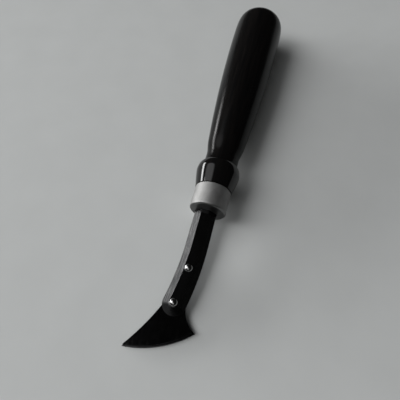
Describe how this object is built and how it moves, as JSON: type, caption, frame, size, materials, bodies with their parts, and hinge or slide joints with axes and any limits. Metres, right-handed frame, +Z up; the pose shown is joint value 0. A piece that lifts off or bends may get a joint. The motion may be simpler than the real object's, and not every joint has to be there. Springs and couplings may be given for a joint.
{
  "type": "leather creaser",
  "caption": "Hand creaser for leather: a turned black handle, an aluminium ferrule and a swept shank riveted to a skewed fan blade with a grooved working edge.",
  "frame": {"origin": "on the bench, below the middle of the tool's bounding box, as the tool lies at rest", "axes": "+Y along the tool towards the butt of the handle, +X to the right seen from above with the butt away, +Z up"},
  "size_m": [0.0286, 0.1624, 0.0223],
  "materials": {
    "handle_lacquer": "black gloss lacquer over turned hardwood",
    "ferrule_aluminium": "satin, turned",
    "shank_steel": "blackened and polished",
    "blade_steel": "blackened and polished",
    "rivet_steel": "polished dome"
  },
  "bodies": {
    "root": {"handle": "handle_lacquer", "ferrule": "ferrule_aluminium", "shank": "shank_steel", "creasing_blade": "blade_steel", "rear_rivet": "rivet_steel", "front_rivet": "rivet_steel"}
  },
  "joints": []
}
